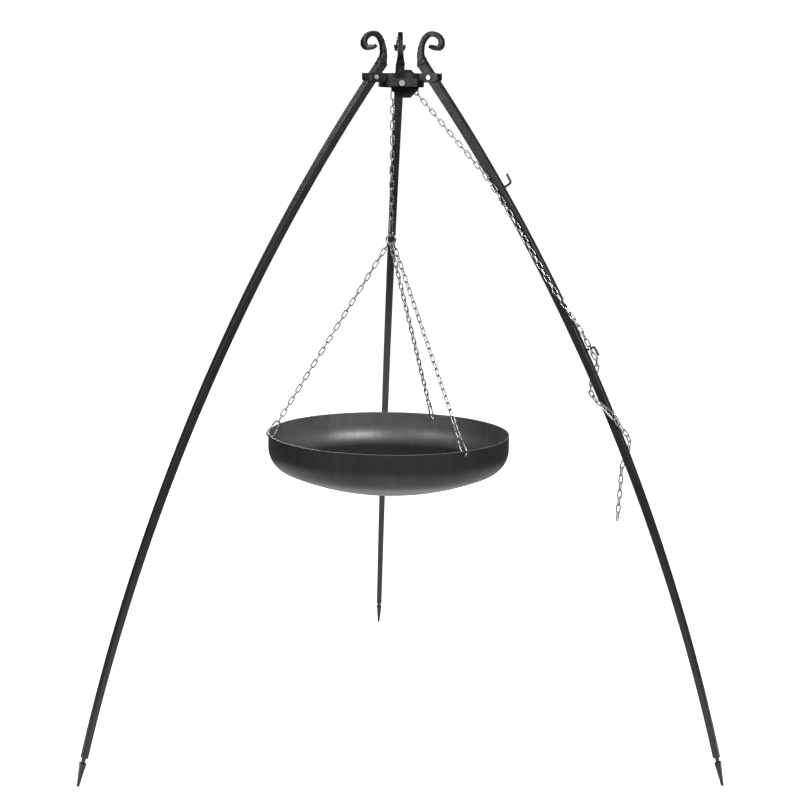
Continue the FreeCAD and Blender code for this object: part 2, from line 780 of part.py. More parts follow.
def led_chain():
    """The rest of the chain: over the wheel, down to the rod hook, round the leg and free."""
    # the strand clears the cheeks in the wheel's own plane before it turns to the leg
    clear = PULLEY + Vector(size("cheek_offset") + size("strand_clear_out"), 0,
                            -size("strand_clear_drop"))
    end = leaving_wheel(clear)
    turn = math.degrees(2 * math.asin(PITCH / 2 / size("pin_circle")))
    angles = [180 - turn * i for i in range(3)]
    side = chain("chain_over_pulley", [round_wheel(angle) for angle in angles], Vector(1, 0, 0))

    upper, lower = hung_link()
    steps = 20
    path = [round_wheel(angles[-1] + (end - angles[-1]) * i / steps) for i in range(steps)]
    path += straight(round_wheel(end), clear)
    path += straight(clear, beside_leg(*RUN_ROUTE[0]))[1:-1]
    path += curve_through([beside_leg(*spot) for spot in RUN_ROUTE] + [upper])
    sideways = RIGHT.Rotation.multVec(Vector(0, 1, 0))
    chain("chain_run", fitted_pins(path), side, sideways)

    eye, nose, width = snap_on_leg()
    path = curve_through([lower] + [beside_leg(*spot) for spot in WRAP_ROUTE] + [eye])
    chain("chain_wrap", [upper] + fitted_pins(path), sideways, width)
    around = [beside_leg(*spot) for spot in ROUND_ROUTE]
    fall = [around[-1] + Vector(TAIL_DRIFT * k, TAIL_DRIFT * k, -TAIL_FALL * k)
            for k in (0.2, 0.4, 0.7, 1)]
    path = curve_through([nose] + around + fall)
    ahead = around[0] - nose
    chain("chain_tail", fitted_pins(path), ahead.cross(width))


def hung_link():
    """The two pins of the link that hangs on the lower rod hook, flat against the leg."""
    along = along_at(size("lower_hook_height"))
    over_rod = (size("rod_size") + size("link_wire")) / 2 + size("link_over_rod")
    out = leg_width(along) / 2 + size("rod_reach") / 2
    upper = along + over_rod + size("link_wire") / 2
    return (RIGHT.multVec(leg_point(upper, out)), RIGHT.multVec(leg_point(upper - PITCH, out)))


# ---------------------------------------------------------------- snap hooks

SNAP_TOP = size("snap_length") / 2 - size("snap_wire") / 2
BIG_CENTRE = size("snap_big_radius") - SNAP_TOP
SMALL_CENTRE = SNAP_TOP - size("snap_small_radius")
GATE_PIVOT_UP = size("gate_pivot_up")


def snap_side():
    """The two ends of the straight flank: they touch the big and the small bend."""
    rise = SMALL_CENTRE - BIG_CENTRE
    tilt = math.asin((size("snap_big_radius") - size("snap_small_radius")) / rise)
    low = Vector(BIG_CENTRE + size("snap_big_radius") * math.sin(tilt),
                 size("snap_big_radius") * math.cos(tilt), 0)
    high = Vector(SMALL_CENTRE + size("snap_small_radius") * math.sin(tilt),
                  size("snap_small_radius") * math.cos(tilt), 0)
    return low, high


def on_flank(up):
    """A point of the gate's flank at a height in the hook's own frame."""
    low, high = snap_side()
    return low + (high - low) * ((up - low.x) / (high.x - low.x))


def snap_hook(label, where):
    """A pear-shaped rod hook with a sprung gate. Its own X runs from the big bend to the
    small one, and the gate is on its +Y flank. The ends of the rod carry the gate's rivet."""
    low, high = snap_side()

    def other(spot):
        return Vector(spot.x, -spot.y, 0)

    gate_radius, rivet_radius = size("gate_wire") / 2, size("gate_rivet") / 2
    nose, root = on_flank(size("gate_nose_up")), on_flank(GATE_PIVOT_UP + 1.5 * gate_radius)
    path = Part.Wire([
        Part.makeLine(nose, low),
        Part.Arc(low, Vector(-SNAP_TOP, 0, 0), other(low)).toShape(),
        Part.makeLine(other(low), other(high)),
        Part.Arc(other(high), Vector(SNAP_TOP, 0, 0), high).toShape(),
        Part.makeLine(high, root),
    ])
    ring = Part.Wire(Part.makeCircle(size("snap_wire") / 2, nose, low - nose))
    rod = path.makePipeShell([ring], True, True)

    flank = high - low
    length, width, thick = (size(f"gate_ear_{part}") for part in ("length", "width", "thickness"))
    inner = gate_radius + size("gate_side_gap")
    pivot = on_flank(GATE_PIVOT_UP)
    ears = []
    for below in (inner, -inner - thick):
        ear = Part.makeBox(length, width, thick, Vector(1 - length / 2, -width / 2, below))
        ear.Placement = along_axis(pivot, flank, Vector(0, 1, 0))
        ears.append(ear)

    def through_pivot(radius):
        return Part.makeCylinder(radius, 4 * inner, pivot - Vector(0, 0, 2 * inner))

    hook = doc.addObject("Part::Feature", label)
    hook.Shape = rod.fuse(ears).cut(through_pivot(rivet_radius + 0.02)).removeSplitter()
    hook.Placement = where
    keep(hook, label)

    bottom = nose + Vector(flank).normalize() * size("gate_gap")
    top = pivot + Vector(flank).normalize() * (1.1 * gate_radius)
    wire = Part.makeCylinder(gate_radius, (top - bottom).Length, bottom, top - bottom)
    gate = doc.addObject("Part::Feature", f"{label}_gate")
    gate.Shape = wire.cut(through_pivot(rivet_radius + size("bolt_clearance")))
    gate.Placement = where
    keep(gate, f"{label}_gate")

    half = inner + thick + size("rivet_head")
    rivet = cylinder(f"{label}_rivet", "Sizes.gate_rivet / 2", f"{2 * half}",
                     where * Placement(pivot - Vector(0, 0, half), Rotation()))
    keep(rivet, f"{label}_rivet")


# A pin is where two wires meet; from it to the middle of the snap hook's wire:
PIN_TO_SNAP = (size("snap_wire") + size("link_slack")) / 2


def snap_on_leg():
    """The snap hook that lies across the leg's near face. Returns the pins at its ends and
    the direction of its width."""
    middle = along_at(LEG_SNAP_HEIGHT)
    centre = leg_point(middle, LEG_SNAP_OUT, LEG_SNAP_SIDE)
    slope = (leg_point(middle + 10) - leg_point(middle - 10)).normalize()
    outwards = slope.cross(Vector(0, 1, 0)) * -1
    if outwards.x < 0:
        outwards = outwards * -1
    slant = math.radians(LEG_SNAP_SLANT)
    axis = slope * math.cos(slant) - outwards * math.sin(slant)
    roll = math.radians(LEG_SNAP_ROLL)
    lean = outwards * math.cos(roll) - Vector(0, 1, 0) * math.sin(roll)
    where = RIGHT * along_axis(centre, axis, lean)
    snap_hook("tail_snap", where)
    half = SNAP_TOP - PIN_TO_SNAP
    ends = [where.multVec(Vector(sign * half, 0, 0)) for sign in (1, -1)]
    return ends[0], ends[1], where.Rotation.multVec(Vector(0, 1, 0))


# ---------------------------------------------------------------- pan and its hangers


def pan(where):
    """A spun fire pan: a short upright side, a knuckle and a shallow dished bottom."""
    body = new_body("pan", where)
    half = sketch_on(body, "XZ_Plane")
    wall = size("pan_wall")

    def profile(inset):
        """Rim, side, knuckle and dish of one face of the sheet, down to the axis."""
        radius = size("pan_radius") - inset
        knuckle = size("pan_knuckle") - inset
        side = size("pan_side")
        depth = size("pan_depth") - inset
        rise = depth - side
        dish = (radius**2 - 2 * radius * knuckle + rise**2) / (2 * (rise - knuckle))
        centre = Vector(0, dish - depth, 0)
        middle = Vector(radius - knuckle, -side, 0)
        tangent = middle + (middle - centre).normalize() * knuckle
        bend = middle + Vector(math.cos(math.radians(-30)), math.sin(math.radians(-30)), 0) * knuckle
        half_way = (math.atan2(tangent.y - centre.y, tangent.x) - math.pi / 2) / 2
        low = centre + Vector(math.cos(half_way), math.sin(half_way), 0) * dish
        return (Vector(radius, 0, 0), Vector(radius, -side, 0), bend, tangent, low,
                Vector(0, -depth, 0))

    outer, inner = profile(0), profile(wall)
    curves = [
        Part.LineSegment(outer[0], outer[1]), Part.Arc(*outer[1:4]), Part.Arc(*outer[3:6]),
        Part.LineSegment(outer[5], inner[5]), Part.Arc(inner[5], inner[4], inner[3]),
        Part.Arc(inner[3], inner[2], inner[1]), Part.LineSegment(inner[1], inner[0]),
        Part.LineSegment(inner[0], outer[0]),
    ]
    for curve in curves:
        half.addGeometry(curve, False)
    spin = body.newObject("PartDesign::Revolution", "spin")
    spin.Profile = half
    spin.ReferenceAxis = (half, ["V_Axis"])
    spin.Angle = 360
    doc.recompute()
    hole = sketch_on(body, "YZ_Plane")
    circle(hole, "0", "-Sizes.rim_hole_drop", "Sizes.rim_hole_size / 2")
    cut = pocket(body, hole, "2 * Sizes.pan_radius", symmetric=False, reverse=True)
    around = body.newObject("PartDesign::PolarPattern", "around")
    around.Originals = [cut]
    around.Axis = (half, ["V_Axis"])
    around.Angle = 360
    around.Occurrences = 3
    body.Tip = around
    doc.recompute()


def hang_the_pan():
    """From the upright strand's last pin: snap hook, gather ring, three chains with their
    own snap hooks, and the pan."""
    last = upright_strand()
    centre = last + DOWN * (SNAP_TOP - PIN_TO_SNAP)
    snap_hook("main_snap", along_axis(centre, DOWN * -1, HOOK_TURN.multVec(Vector(0, 1, 0))))

    rest = centre.z - SNAP_TOP + (size("snap_wire") + size("gather_wire")) / 2
    middle = Vector(centre.x, centre.y, rest + size("ring_slack") - size("gather_radius"))
    ring = doc.addObject("Part::Torus", "gather_ring")
    ring.setExpression("Radius1", "Sizes.gather_radius")
    ring.setExpression("Radius2", "Sizes.gather_wire / 2")
    ring.Placement = Placement(middle, HOOK_TURN * Rotation(Vector(1, 0, 0), 90))
    doc.recompute()
    keep(ring, "gather_ring")

    rim = Vector(centre.x, centre.y, size("pan_rim_height"))
    first = size("first_hole_angle")
    pan(Placement(rim, Rotation(Vector(0, 0, 1), first)))
    ring_spots = {"left": -36, "front": 35, "rear": 0}
    on_wire = (size("gather_wire") + size("link_slack")) / 2
    for number, (name, spot) in enumerate(ring_spots.items()):
        angle = math.radians(first + 120 * number)
        outwards = Vector(math.cos(angle), math.sin(angle), 0)
        reach = size("pan_radius") - size("pan_wall") / 2
        hole = rim + outwards * reach + DOWN * size("rim_hole_drop")
        bearing = math.radians(spot)
        round_ring = Vector(math.sin(bearing), 0, -math.cos(bearing)) * size("gather_radius")
        wire = middle + HOOK_TURN.multVec(round_ring)
        tangent = HOOK_TURN.multVec(Vector(math.cos(bearing), 0, math.sin(bearing)))
        start = wire + squared(wire - hole, tangent) * on_wire
        axis = (start - hole).normalize()
        centre = hole + axis * SNAP_TOP
        snap_hook(f"rim_snap_{name}", along_axis(centre, axis, outwards))
        end = centre + axis * (SNAP_TOP - PIN_TO_SNAP)
        path = straight(end, start)
        chain(f"hanger_chain_{name}", fitted_pins(path), DOWN.cross(outwards), tangent)


def rod_hook(name, height, tail):
    """A bent rod on the outer face of the right leg. The tail runs up or down the leg."""
    along = along_at(height)
    face = leg_width(along) / 2
    bend = size("rod_size")
    inset = bend * (1 - math.sqrt(0.5))
    reach = face + size("rod_reach")
    start = leg_point(along, face)
    before = leg_point(along, reach - bend)
    corner = leg_point(along + tail * inset, reach - inset)
    after = leg_point(along + tail * bend, reach)
    end = leg_point(along + tail * size("rod_tail"), reach + 1)
    path = Part.Wire([
        Part.makeLine(start, before), Part.Arc(before, corner, after).toShape(),
        Part.makeLine(after, end),
    ])
    ring = Part.Wire(Part.makeCircle(size("rod_size") / 2, start, before - start))
    feature = doc.addObject("Part::Feature", f"chain_hook_{name}")
    feature.Shape = path.makePipeShell([ring], True, True)
    feature.Placement = RIGHT
    keep(feature, f"chain_hook_{name}")


# ---------------------------------------------------------------- assembly

for leg, azimuth in LEGS.items():
    leg_tube(leg, azimuth)
    spear_foot(leg, azimuth)
    scroll(leg, azimuth)
    clevis(leg, azimuth)
crown_ring()
front_strap()
cheek("front", -CHEEK_GAP)
cheek("rear", CHEEK_GAP + size("cheek_thickness"))
pulley_wheel()
pivot_fasteners()
axle_parts()
rod_hook("upper", size("upper_hook_height"), 1)
rod_hook("lower", size("lower_hook_height"), -1)
led_chain()
hang_the_pan()

doc.recompute()
for thing in doc.Objects:
    if "Invalid" in thing.State or "Error" in thing.State:
        raise RuntimeError(f"{thing.Name} did not recompute")
os.makedirs("parts", exist_ok=True)
for thing in parts:
    if thing.Shape.isNull() or not thing.Shape.isValid():
        raise RuntimeError(f"{thing.Label} has no valid shape")
    thing.Shape.exportStep(f"parts/{thing.Label}.step")
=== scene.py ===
import json
import math

import bmesh
import bpy
import numpy as np
from mathutils import Matrix, Vector, noise


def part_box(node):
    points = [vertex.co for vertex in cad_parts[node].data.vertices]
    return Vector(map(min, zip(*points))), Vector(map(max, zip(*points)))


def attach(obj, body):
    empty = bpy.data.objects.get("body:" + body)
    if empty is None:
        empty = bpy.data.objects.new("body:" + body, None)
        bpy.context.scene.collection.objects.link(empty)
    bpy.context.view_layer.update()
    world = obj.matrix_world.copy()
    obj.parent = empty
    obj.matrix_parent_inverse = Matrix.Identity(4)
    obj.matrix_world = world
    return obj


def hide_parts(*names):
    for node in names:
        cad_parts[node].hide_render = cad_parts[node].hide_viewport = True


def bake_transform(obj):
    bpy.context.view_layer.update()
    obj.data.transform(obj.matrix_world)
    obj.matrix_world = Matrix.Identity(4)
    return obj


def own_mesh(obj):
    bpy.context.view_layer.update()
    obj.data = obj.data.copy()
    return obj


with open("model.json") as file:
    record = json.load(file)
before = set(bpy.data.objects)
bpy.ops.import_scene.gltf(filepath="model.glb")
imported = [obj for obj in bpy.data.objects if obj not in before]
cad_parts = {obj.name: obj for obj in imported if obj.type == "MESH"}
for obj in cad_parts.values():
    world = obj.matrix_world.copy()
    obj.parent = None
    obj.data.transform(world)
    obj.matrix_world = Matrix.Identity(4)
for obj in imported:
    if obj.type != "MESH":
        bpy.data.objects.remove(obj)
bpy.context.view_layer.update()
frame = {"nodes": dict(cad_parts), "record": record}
NODES = frame["nodes"]
SCENE = bpy.context.scene
BODY_OF = {node: body for body, nodes in frame["record"]["behaviour"]["bodies"].items()
           for node in nodes}

# ---------------------------------------------------------------- camera
TRIPOD_AXIS = Vector((0.0, -0.2155, 0.0))
LEGS = {"left": 210, "right": 330, "rear": 90}
CAMERA_DISTANCE = 4.00364
CAMERA_HEIGHT = 1.48206
CAMERA_TURN = -0.05448
CAMERA_PITCH = 0.16056
CAMERA_YAW = -0.02915
CAMERA_ROLL = 0.0088
FOCAL_IN_WIDTHS = 1626.08 / 800
SHIFT_X = 0.0625


def make_camera():
    turn = Matrix.Rotation(CAMERA_TURN, 3, "Z")
    forward = Vector((math.sin(CAMERA_YAW) * math.cos(CAMERA_PITCH),
                      math.cos(CAMERA_YAW) * math.cos(CAMERA_PITCH), -math.sin(CAMERA_PITCH)))
    level = Vector((math.cos(CAMERA_YAW), -math.sin(CAMERA_YAW), 0.0))
    above = level.cross(forward)
    right = math.cos(CAMERA_ROLL) * level + math.sin(CAMERA_ROLL) * above
    up = -math.sin(CAMERA_ROLL) * level + math.cos(CAMERA_ROLL) * above
    place = TRIPOD_AXIS + turn @ Vector((0.0, -CAMERA_DISTANCE, CAMERA_HEIGHT))
    data = bpy.data.cameras.new("camera")
    data.sensor_width = 36.0
    data.lens = FOCAL_IN_WIDTHS * data.sensor_width
    data.shift_x = SHIFT_X
    camera = bpy.data.objects.new("camera", data)
    SCENE.collection.objects.link(camera)
    columns = [turn @ right, turn @ up, turn @ -forward]
    camera.matrix_world = (Matrix.Translation(place)
                           @ Matrix([[c[i] for c in columns] for i in range(3)]).to_4x4())
    SCENE.camera = camera


make_camera()


# ---------------------------------------------------------------- node helpers
class Graph:
    """A material's node tree, with short calls for the nodes used here. Textures are in
    metres of the object's own coordinates."""

    def __init__(self, name):
        self.material = bpy.data.materials.new(name)
        self.material.use_nodes = True
        self.tree = self.material.node_tree
        self.tree.nodes.clear()
        self.out = self.tree.nodes.new("ShaderNodeOutputMaterial")
        self.shader = self.tree.nodes.new("ShaderNodeBsdfPrincipled")
        self.tree.links.new(self.shader.outputs[0], self.out.inputs["Surface"])
        self.coord = self.tree.nodes.new("ShaderNodeTexCoord").outputs["Object"]

    def feed(self, socket, value):
        if isinstance(value, bpy.types.NodeSocket):
            self.tree.links.new(value, socket)
        elif value is not None:
            socket.default_value = value

    def set(self, **values):
        for name, value in values.items():
            self.feed(self.shader.inputs[name.replace("_", " ")], value)

    def node(self, kind, **values):
        n = self.tree.nodes.new(kind)
        for name, value in values.items():
            setattr(n, name, value)
        return n

    def scaled(self, vector, scale):
        n = self.node("ShaderNodeMapping")
        self.feed(n.inputs["Vector"], vector)
        n.inputs["Scale"].default_value = scale
        return n.outputs[0]

    def noise(self, scale, detail=3.0, rough=0.5, vector=None, distortion=0.0):
        n = self.node("ShaderNodeTexNoise")
        self.feed(n.inputs["Vector"], vector or self.coord)
        for name, value in (("Scale", scale), ("Detail", detail), ("Roughness", rough),
                            ("Distortion", distortion)):
            n.inputs[name].default_value = value
        return n.outputs["Fac"]

    def spread(self, value, low, high, to_low=0.0, to_high=1.0):
        n = self.node("ShaderNodeMapRange")
        for i, v in enumerate((value, low, high, to_low, to_high)):
            self.feed(n.inputs[i], v)
        return n.outputs[0]

    def math(self, operation, a, b=None):
        n = self.node("ShaderNodeMath", operation=operation)
        self.feed(n.inputs[0], a)
        self.feed(n.inputs[1], b)
        return n.outputs[0]

    def split(self, vector):
        n = self.node("ShaderNodeSeparateXYZ")
        self.feed(n.inputs[0], vector)
        return n.outputs

    def joined(self, *values):
        n = self.node("ShaderNodeCombineXYZ")
        for socket, value in zip(n.inputs, values):
            self.feed(socket, value)
        return n.outputs[0]

    def dot(self, a, b):
        n = self.node("ShaderNodeVectorMath", operation="DOT_PRODUCT")
        self.feed(n.inputs[0], a)
        self.feed(n.inputs[1], b)
        return n.outputs["Value"]

    def distance(self, x, y):
        squares = self.math("MULTIPLY", x, x), self.math("MULTIPLY", y, y)
        return self.math("SQRT", self.math("ADD", *squares))

    def ramp(self, value, stops):
        n = self.node("ShaderNodeValToRGB")
        self.feed(n.inputs[0], value)
        points = n.color_ramp.elements
        while len(points) < len(stops):
            points.new(0.5)
        for point, (at, colour) in zip(points, stops):
            point.position = at
            point.color = (*colour, 1.0)
        return n.outputs[0]

    def mix(self, share, a, b):
        n = self.node("ShaderNodeMix", data_type="RGBA")
        self.feed(n.inputs[0], share)
        for socket, value in ((n.inputs[6], a), (n.inputs[7], b)):
            self.feed(socket, (*value, 1.0) if isinstance(value, tuple) else value)
        return n.outputs[2]

    def edges(self, radius):
        """1 on flat faces and less on edges, within the radius of them."""
        bevel = self.node("ShaderNodeBevel", samples=4)
        bevel.inputs["Radius"].default_value = radius
        return self.dot(bevel.outputs[0], self.node("ShaderNodeNewGeometry").outputs["Normal"])

    def bump(self, *layers):
        """layers: (height, distance in metres)."""
        normal = None
        for height, distance in layers:
            n = self.node("ShaderNodeBump")
            n.inputs["Strength"].default_value = 1.0
            n.inputs["Distance"].default_value = distance
            self.feed(n.inputs["Height"], height)
            self.feed(n.inputs["Normal"], normal)
            normal = n.outputs[0]
        self.set(Normal=normal)
        return self


def grey(value):
    return (value, value, value)


# ---------------------------------------------------------------- materials
def satin_paint(name, dark, light, rough, peel, dents, scuffed_before=None):
    """Black paint with specks, rubbed edges and a little orange peel over uneven steel. Ahead
    of scuffed_before, a Y in metres, it is scuffed."""
    g = Graph(name)
    cloud = g.noise(9.0, 5.0, 0.6)
    fine = g.noise(420.0, 3.0, 0.55)
    speck = g.noise(1500.0, 2.0, 0.6)
    colour = g.ramp(cloud, [(0.35, grey(dark)), (0.68, grey(light))])
    colour = g.mix(g.spread(speck, 0.62, 0.75, 0.0, 0.5), colour, grey(light * 1.9))
    worn = g.math("MULTIPLY", g.spread(g.edges(0.0012), 0.98, 0.9),
                  g.spread(g.noise(90.0, 4.0, 0.7), 0.56, 0.72, 0.0, 0.3))
    colour = g.mix(worn, colour, grey(light * 2.5))
    if scuffed_before is not None:
        front = g.spread(g.split(g.coord)[1], scuffed_before, scuffed_before - 0.0008)
        rubbed = g.spread(g.noise(260.0, 5.0, 0.75), 0.42, 0.66, 0.15, 1.0)
        colour = g.mix(g.math("MULTIPLY", front, rubbed), colour, grey(0.075))
    g.set(Base_Color=colour,
          Roughness=g.spread(g.noise(60.0, 4.0, 0.6), 0.3, 0.7, rough - 0.06, rough + 0.07))
    g.shader.inputs["IOR"].default_value = 1.5
    return g.bump((g.noise(35.0, 4.0, 0.5), dents), (fine, peel)).material


def zinc(name, base, rough, grain):
    """Zinc plate in duller and brighter patches, with dark stains."""
    g = Graph(name)
    patch = g.noise(160.0, 4.0, 0.6)
    bright = (base, base, base * 1.01)
    dull = (base * 0.66, base * 0.67, base * 0.70)
    colour = g.ramp(patch, [(0.3, dull), (0.7, bright)])
    stain = g.spread(g.noise(420.0, 4.0, 0.7), 0.58, 0.74, 0.0, 0.5)
    colour = g.mix(stain, colour, (base * 0.34, base * 0.335, base * 0.33))
    g.set(Base_Color=colour,
          Roughness=g.spread(g.noise(700.0, 3.0, 0.6), 0.3, 0.7, rough - 0.05, rough + 0.1))
    g.shader.inputs["Metallic"].default_value = 1.0
    return g.bump((g.noise(900.0, 3.0, 0.6), grain)).material


def pan_steel(name):
    """Raw sheet spun to a dish: rings from the tool, faint streaks down the side, scale. The
    inside of the wall is painted lighter, a painted reflection, and the cut edge of the rim is
    bright."""
    g = Graph(name)
    low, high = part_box("pan")
    shift = g.node("ShaderNodeVectorMath", operation="SUBTRACT")
    g.feed(shift.inputs[0], g.coord)
    shift.inputs[1].default_value = (low + high) / 2
    x, y, z = g.split(shift.outputs[0])
    radius = g.distance(x, y)
    rolled = g.joined(g.math("DIVIDE", x, radius), g.math("DIVIDE", y, radius), z)
    turned = g.joined(radius, z, 0.0)
    streak = g.noise(1.0, 5.0, 0.6, g.scaled(rolled, (16.0, 16.0, 6.0)))
    rings = g.noise(1.0, 5.0, 0.7, g.scaled(turned, (300.0, 300.0, 1.0)))
    cloud = g.noise(5.0, 6.0, 0.6, distortion=0.5)
    scale = g.noise(260.0, 5.0, 0.7)
    tone = g.math("ADD", g.math("MULTIPLY", cloud, 0.62), g.math("MULTIPLY", streak, 0.22))
    tone = g.math("ADD", tone, g.math("MULTIPLY", rings, 0.16))
    normal = g.node("ShaderNodeNewGeometry").outputs["Normal"]
    # faces turned towards the pan's axis, the inside of the wall, get a lighter colour: a painted
    # reflection of the lamps in front
    inward = g.dot(normal, g.scaled(rolled, (-1.0, -1.0, 0.0)))
    skin = g.ramp(tone, [(0.32, grey(0.024)), (0.52, grey(0.042)), (0.72, grey(0.066))])
    painted_reflection = g.ramp(tone, [(0.32, grey(0.13)), (0.52, grey(0.21)), (0.72, grey(0.30))])
    colour = g.mix(g.spread(inward, 0.55, 1.0), skin, painted_reflection)
    colour = g.mix(g.spread(scale, 0.56, 0.78, 0.0, 0.4), colour, grey(0.03))
    rubbed = g.spread(g.noise(60.0, 3.0), 0.3, 0.6, 0.5, 1.0)
    colour = g.mix(g.math("MULTIPLY", g.spread(z, 0.0725, 0.0733), rubbed), colour, grey(0.3))
    g.set(Base_Color=colour, Roughness=g.spread(tone, 0.3, 0.7, 0.52, 0.42))
    g.shader.inputs["Metallic"].default_value = 0.6
    return g.bump((g.noise(9.0, 3.0, 0.5), 0.0012), (rings, 0.00005), (scale, 0.00005)).material


STRAP_FACE_Y = -0.2750
MATERIALS = {
    "leg_paint": satin_paint("leg_paint", 0.010, 0.016, 0.38, 0.00003, 0.0004),
    "forged_paint": satin_paint("forged_paint", 0.003, 0.007, 0.36, 0.00005, 0.0010),
    "crown_paint": satin_paint("crown_paint", 0.002, 0.005, 0.38, 0.00008, 0.0005, STRAP_FACE_Y),
    "wheel_steel": zinc("wheel_steel", 0.3, 0.42, 0.00003),
    "pan_steel": pan_steel("pan_steel"),
    "fastener_zinc": zinc("fastener_zinc", 0.92, 0.36, 0.00003),
    "snap_zinc": zinc("snap_zinc", 0.62, 0.22, 0.00003),
    "chain_zinc": zinc("chain_zinc", 0.56, 0.26, 0.00004),
}
SLOT_OF = {part["node"]: part["material_slot"] for part in frame["record"]["subparts"]}
for node, slot in SLOT_OF.items():
    NODES[node].data.materials.clear()
    NODES[node].data.materials.append(MATERIALS[slot])


# ---------------------------------------------------------------- mesh helpers
def mesh_object(name, points, faces, slot):
    mesh = bpy.data.meshes.new(name)
    mesh.from_pydata([tuple(p) for p in points], [], [tuple(f) for f in faces])
    mesh.polygons.foreach_set("use_smooth", [True] * len(mesh.polygons))
    mesh.materials.append(MATERIALS[slot])
    piece = bpy.data.objects.new(name, mesh)
    SCENE.collection.objects.link(piece)
    return piece


def tube(path, radii, normal, closed, sides=10):
    """Points and quads of a round tube along a path. One side of each section faces along
    the normal, which is a single direction or one for each point of the path."""
    path = np.asarray(path, float)
    count = len(path)
    if closed:
        ahead = np.roll(path, -1, axis=0) - np.roll(path, 1, axis=0)
    else:
        ahead = np.gradient(path, axis=0)
    ahead /= np.linalg.norm(ahead, axis=1)[:, None]
    normal = np.broadcast_to(np.asarray(normal, float), path.shape)
    across = np.cross(ahead, normal)
    across /= np.linalg.norm(across, axis=1)[:, None]
    up = np.cross(across, ahead)
    turn = 2 * math.pi * np.arange(sides) / sides
    radii = np.broadcast_to(np.asarray(radii, float), count)[:, None, None]
    points = (path[:, None] + radii * (across[:, None] * np.cos(turn)[None, :, None]
                                       + up[:, None] * np.sin(turn)[None, :, None]))
    faces = []
    for i in range(count if closed else count - 1):
        here, there = i * sides, (i + 1) % count * sides
        faces += [(here + k, here + (k + 1) % sides, there + (k + 1) % sides, there + k)
                  for k in range(sides)]
    if not closed:
        faces += [tuple(range(sides))[::-1], tuple((count - 1) * sides + k for k in range(sides))]
    return points.reshape(-1, 3), faces


# ---------------------------------------------------------------- chains
LINK_LENGTH = 0.0240
LINK_WIDTH = 0.0116
LINK_WIRE = 0.0028
LINK_CORNER = 0.0036
LINK_WELD_LENGTH = 0.0009
LINK_WELD_SWELL = 0.17


def link_shape():
    """One link in its own frame: X along it, Y across it. Its ends are a little blunt, and
    one long side has the thick spot of a butt weld."""
    half_length, half_width = (LINK_LENGTH - LINK_WIRE) / 2, (LINK_WIDTH - LINK_WIRE) / 2
    run, rise = half_length - LINK_CORNER, half_width - LINK_CORNER
    path = []
    for quarter, (x, y) in enumerate(((run, -rise), (run, rise), (-run, rise), (-run, -rise))):
        for step in range(6):
            angle = math.radians(90 * quarter - 90 + 18 * step)
            path.append((x + LINK_CORNER * math.cos(angle), y + LINK_CORNER * math.sin(angle), 0))
        if quarter == 1:
            shares = (0.55, 0.2, 0.1, 0, -0.1, -0.2, -0.55)
            path += [(share * run, half_width, 0) for share in shares]
        if quarter == 3:
            path += [(share * run, -half_width, 0) for share in (-0.5, 0, 0.5)]
    path = np.array(path)
    weld = np.exp(-(path[:, 0] / LINK_WELD_LENGTH) ** 2) * (path[:, 1] > 0)
    return tube(path, LINK_WIRE / 2 * (1 + LINK_WELD_SWELL * weld), (0, 0, 1), True)


def link_frames(node):
    """The middle and the two axes of each link of a CAD chain, from its loose pieces."""
    mesh = NODES[node].data
    points = np.empty(len(mesh.vertices) * 3)
    mesh.vertices.foreach_get("co", points)
    points = points.reshape(-1, 3)
    spots, spot_of = np.unique(np.round(points, 6), axis=0, return_inverse=True)
    edges = np.empty(len(mesh.edges) * 2, int)
    mesh.edges.foreach_get("vertices", edges)
    a, b = spot_of.ravel()[edges].reshape(-1, 2).T
    label, before = np.arange(len(spots)), None
    while before is None or not np.array_equal(label, before):
        before = label.copy()
        lowest = np.minimum(label[a], label[b])
        np.minimum.at(label, a, lowest)
        np.minimum.at(label, b, lowest)
        label = label[label]
    frames = []
    for piece in np.unique(label):
        cloud = spots[label == piece]
        spread = cloud - cloud.mean(axis=0)
        axes = np.linalg.eigh(spread.T @ spread)[1][:, ::-1].T
        along = cloud @ axes.T
        middle = (along.min(axis=0) + along.max(axis=0)) / 2 @ axes
        frames.append((middle, axes[0], axes[1]))
    return frames


def rebuilt_chain(node):
    """The chain's links with welds, each where the CAD link is."""
    shape, quads = link_shape()
    points, faces = [], []
    for number, (middle, along, across) in enumerate(link_frames(node)):
        if number % 2:
            across = -across
        base = len(points) * len(shape)
        axes = np.array([along, across, np.cross(along, across)])
        points.append(middle + shape @ axes)
        faces += [[base + k for k in quad] for quad in quads]
    piece = mesh_object(f"{node}_links", np.concatenate(points), faces, SLOT_OF[node])
    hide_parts(node)
    return piece


for node in ("chain_over_pulley", "main_chain", "chain_wrap", "chain_tail", "hanger_chain_left",
             "hanger_chain_front", "hanger_chain_rear"):
    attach(rebuilt_chain(node), BODY_OF[node])
take_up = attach(rebuilt_chain("chain_takeup"), "upper_chain")
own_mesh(take_up)
led_off = rebuilt_chain("chain_run")
middles = [middle for middle, _, _ in link_frames("chain_run")]
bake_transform(led_off)


# ---------------------------------------------------------------- forged ends
BROAD_DENTS = 130
FINE_DENTS = 330


